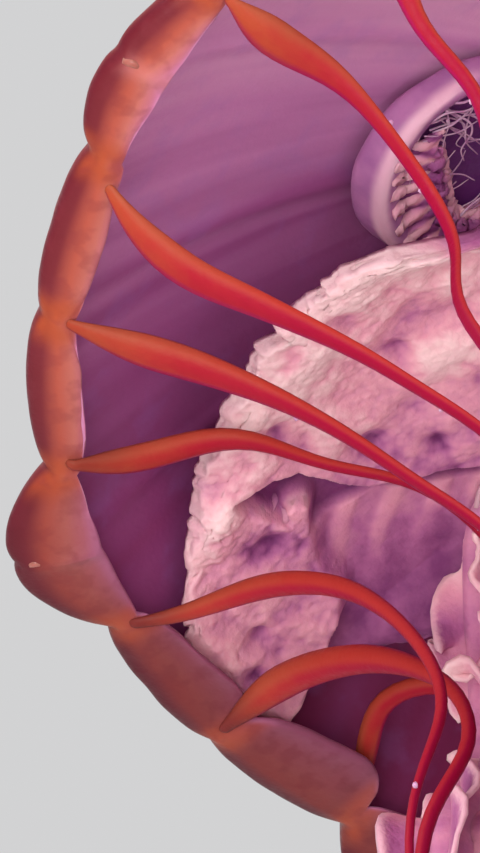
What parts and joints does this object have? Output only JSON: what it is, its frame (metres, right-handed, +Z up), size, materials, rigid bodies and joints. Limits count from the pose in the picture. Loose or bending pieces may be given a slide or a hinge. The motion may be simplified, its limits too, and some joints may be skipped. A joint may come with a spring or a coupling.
{
  "type": "sea nettle jellyfish",
  "caption": "Still, life-size sea nettle jellyfish: a banked bell with a lappeted margin, long red tentacles and frilled oral arms, held by one rod on a flat display stand.",
  "frame": {"origin": "centre of the stand base's underside, on the floor", "axes": "+Z up; -Y is the front, where the bell's mouth side faces down and forward; +X is to the right as seen from the front; the bell's apex leans back (+Y) and a little to the left (-X)"},
  "size_m": [0.33, 0.3381, 0.8339],
  "materials": {
    "bell_jelly": "wet, softly glossy jelly, lilac inside and orange-brown to maroon at the margin",
    "stomach_jelly": "wet translucent jelly with pale threads",
    "tentacle_jelly": "wet, smooth, orange at the root to crimson",
    "arm_frill": "pinkish white, ruffled, finely granular at the edges",
    "stand_base": "satin charcoal paint",
    "stand_rod": "brushed steel"
  },
  "bodies": {
    "root": {"bell": "bell_jelly", "manubrium": "stomach_jelly", "tentacle_01_upper": "tentacle_jelly", "tentacle_01_lower": "tentacle_jelly", "tentacle_02_upper": "tentacle_jelly", "tentacle_02_lower": "tentacle_jelly", "tentacle_03_upper": "tentacle_jelly", "tentacle_03_lower": "tentacle_jelly", "tentacle_04_upper": "tentacle_jelly", "tentacle_04_lower": "tentacle_jelly", "tentacle_05_upper": "tentacle_jelly", "tentacle_05_lower": "tentacle_jelly", "tentacle_06_upper": "tentacle_jelly", "tentacle_06_lower": "tentacle_jelly", "tentacle_07_upper": "tentacle_jelly", "tentacle_07_lower": "tentacle_jelly", "tentacle_08_upper": "tentacle_jelly", "tentacle_08_lower": "tentacle_jelly", "tentacle_09_upper": "tentacle_jelly", "tentacle_09_lower": "tentacle_jelly", "tentacle_10_upper": "tentacle_jelly", "tentacle_10_lower": "tentacle_jelly", "tentacle_11_upper": "tentacle_jelly", "tentacle_11_lower": "tentacle_jelly", "tentacle_12_upper": "tentacle_jelly", "tentacle_12_lower": "tentacle_jelly", "tentacle_13_upper": "tentacle_jelly", "tentacle_13_lower": "tentacle_jelly", "tentacle_14_upper": "tentacle_jelly", "tentacle_14_lower": "tentacle_jelly", "tentacle_15_upper": "tentacle_jelly", "tentacle_15_lower": "tentacle_jelly", "tentacle_16_upper": "tentacle_jelly", "tentacle_16_lower": "tentacle_jelly", "tentacle_17_upper": "tentacle_jelly", "tentacle_17_lower": "tentacle_jelly", "tentacle_18_upper": "tentacle_jelly", "tentacle_18_lower": "tentacle_jelly", "tentacle_19_upper": "tentacle_jelly", "tentacle_19_lower": "tentacle_jelly", "tentacle_20_upper": "tentacle_jelly", "tentacle_20_lower": "tentacle_jelly", "tentacle_21_upper": "tentacle_jelly", "tentacle_21_lower": "tentacle_jelly", "tentacle_22_upper": "tentacle_jelly", "tentacle_22_lower": "tentacle_jelly", "tentacle_23_upper": "tentacle_jelly", "tentacle_23_lower": "tentacle_jelly", "tentacle_24_upper": "tentacle_jelly", "tentacle_24_lower": "tentacle_jelly", "arm_1_upper": "arm_frill", "arm_1_lower": "arm_frill", "arm_2_upper": "arm_frill", "arm_2_lower": "arm_frill", "arm_3_upper": "arm_frill", "arm_3_lower": "arm_frill", "arm_4_upper": "arm_frill", "arm_4_lower": "arm_frill", "stand_base": "stand_base", "stand_rod": "stand_rod"}
  },
  "joints": []
}
